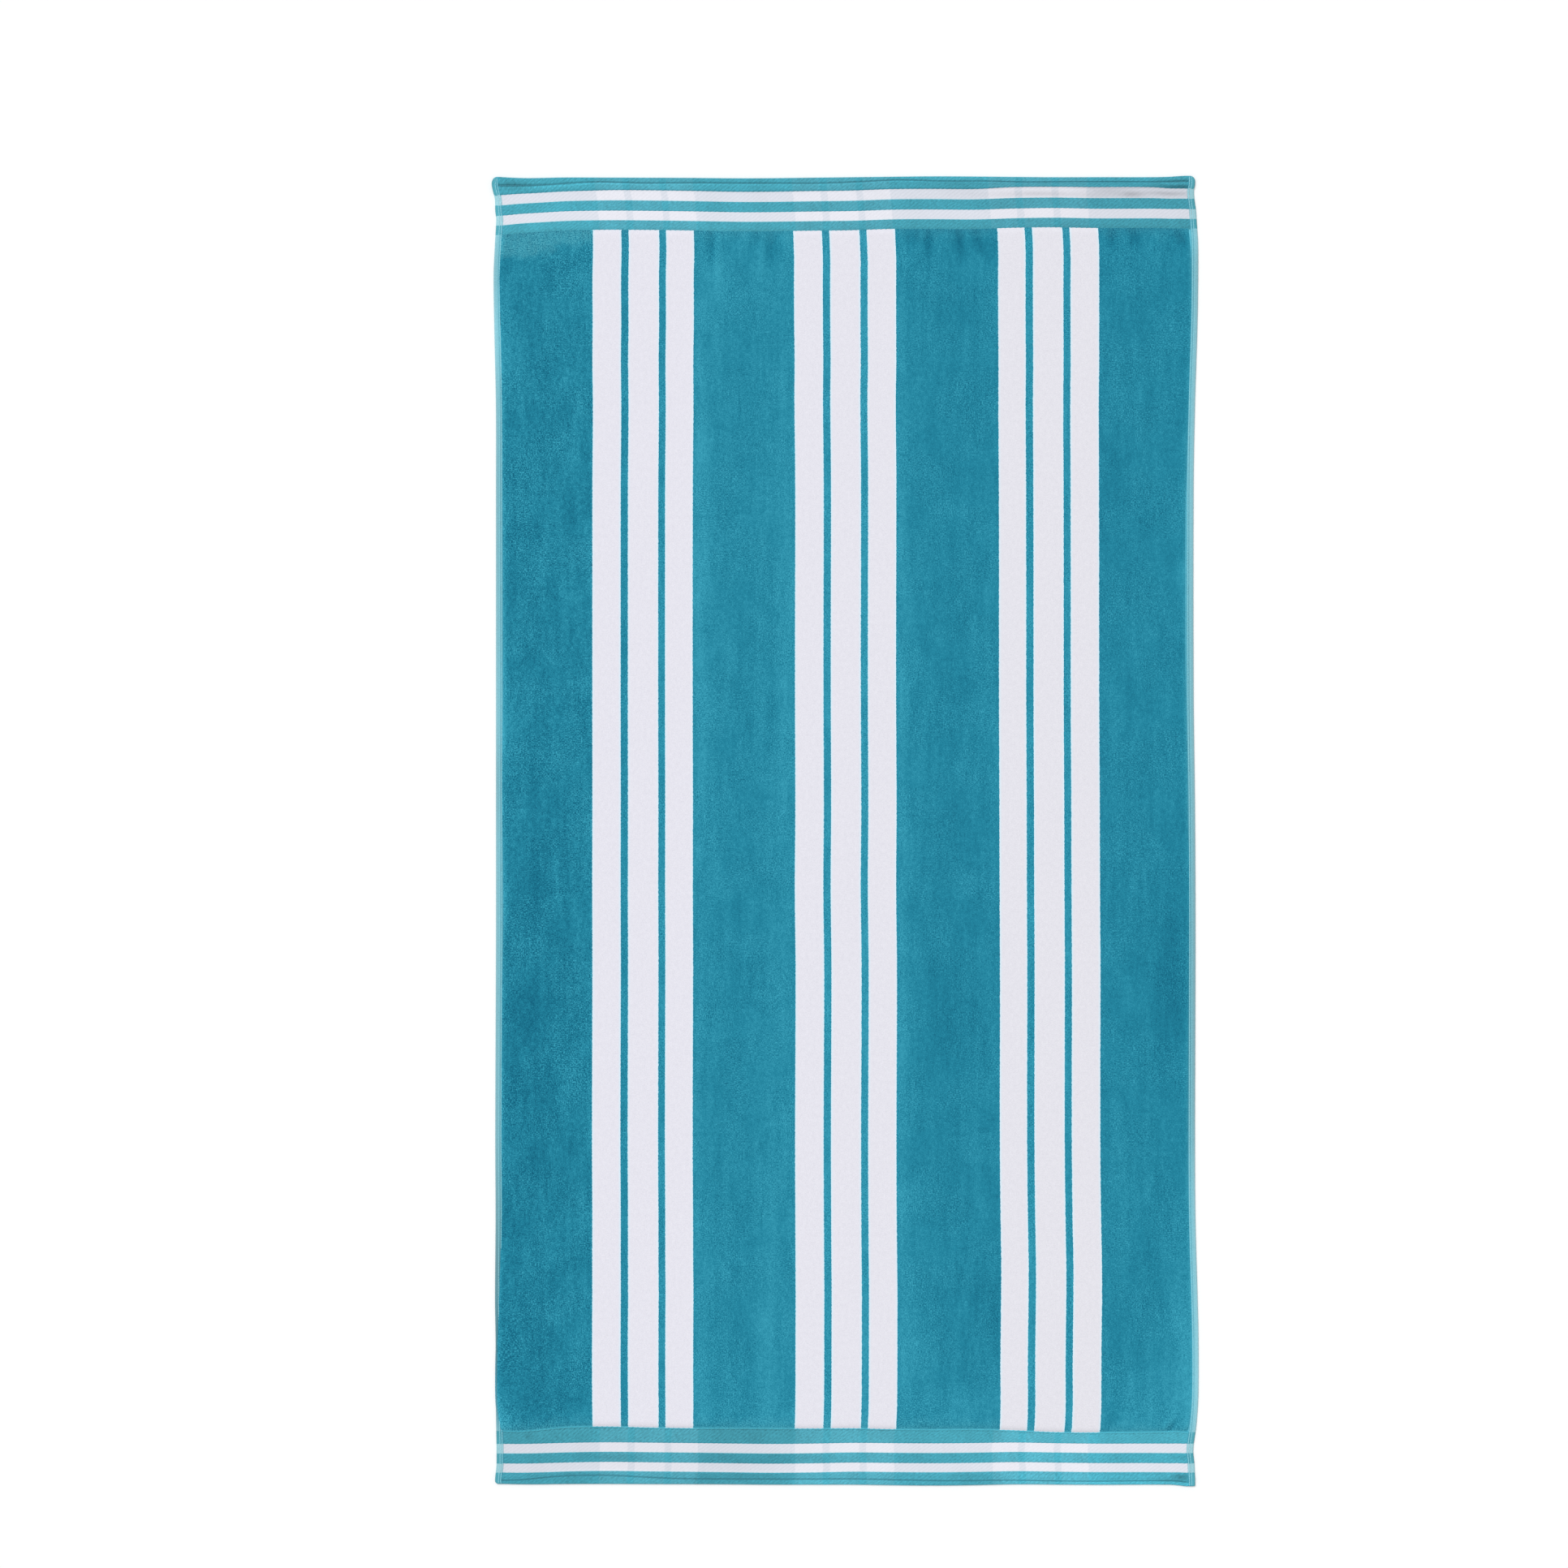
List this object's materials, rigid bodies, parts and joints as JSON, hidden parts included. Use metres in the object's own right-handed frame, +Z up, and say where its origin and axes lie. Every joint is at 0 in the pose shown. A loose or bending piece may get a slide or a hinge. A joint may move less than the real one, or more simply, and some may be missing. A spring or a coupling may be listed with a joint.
{
  "type": "beach towel",
  "caption": "Flat rectangular beach towel with a raised velour field, lengthwise stripes, flat-woven end borders and folded hems.",
  "frame": {"origin": "middle of the flat underside, on the surface that the towel lies on", "axes": "+Z up out of the pile, +Y along the length towards the top end of the picture, +X to the right across the width"},
  "size_m": [0.8752, 1.6226, 0.0038],
  "materials": {
    "cloth": "cotton velour with cut pile, teal with white lengthwise stripes"
  },
  "bodies": {
    "root": {"towel": "cloth"}
  },
  "joints": []
}
